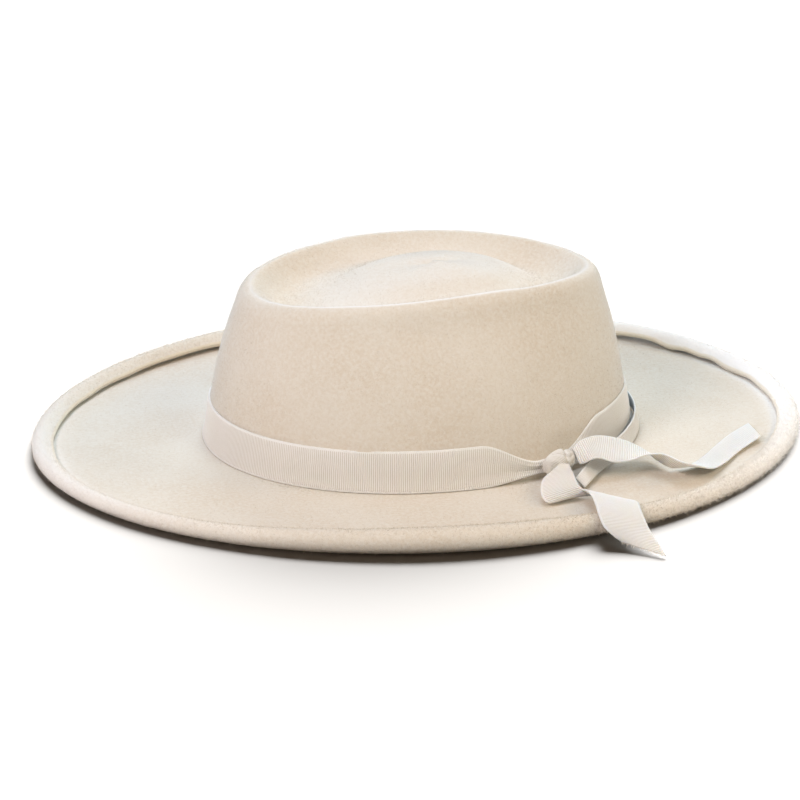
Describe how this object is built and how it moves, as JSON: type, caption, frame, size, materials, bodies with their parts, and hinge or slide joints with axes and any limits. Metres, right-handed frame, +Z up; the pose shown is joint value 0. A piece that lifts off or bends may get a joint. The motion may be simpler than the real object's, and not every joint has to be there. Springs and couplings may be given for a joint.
{
  "type": "fedora",
  "caption": "Cream felt fedora with a domed crown in a raised rim, a brim with a curled edge and a tied grosgrain ribbon.",
  "frame": {"origin": "middle of the hat's footprint, at the plane that it rests on", "axes": "+Z up, the crown's long axis along X, the ribbon's knot on the -Y side towards +X"},
  "size_m": [0.3752, 0.335, 0.0865],
  "materials": {
    "felt": "matt fur felt, cream",
    "ribbon": "matt grosgrain, cream"
  },
  "bodies": {
    "root": {"felt_body": "felt", "ribbon_band": "ribbon", "ribbon_knot": "ribbon", "ribbon_outer_ply": "ribbon", "ribbon_tail_upper": "ribbon", "ribbon_tail_lower": "ribbon"}
  },
  "joints": []
}
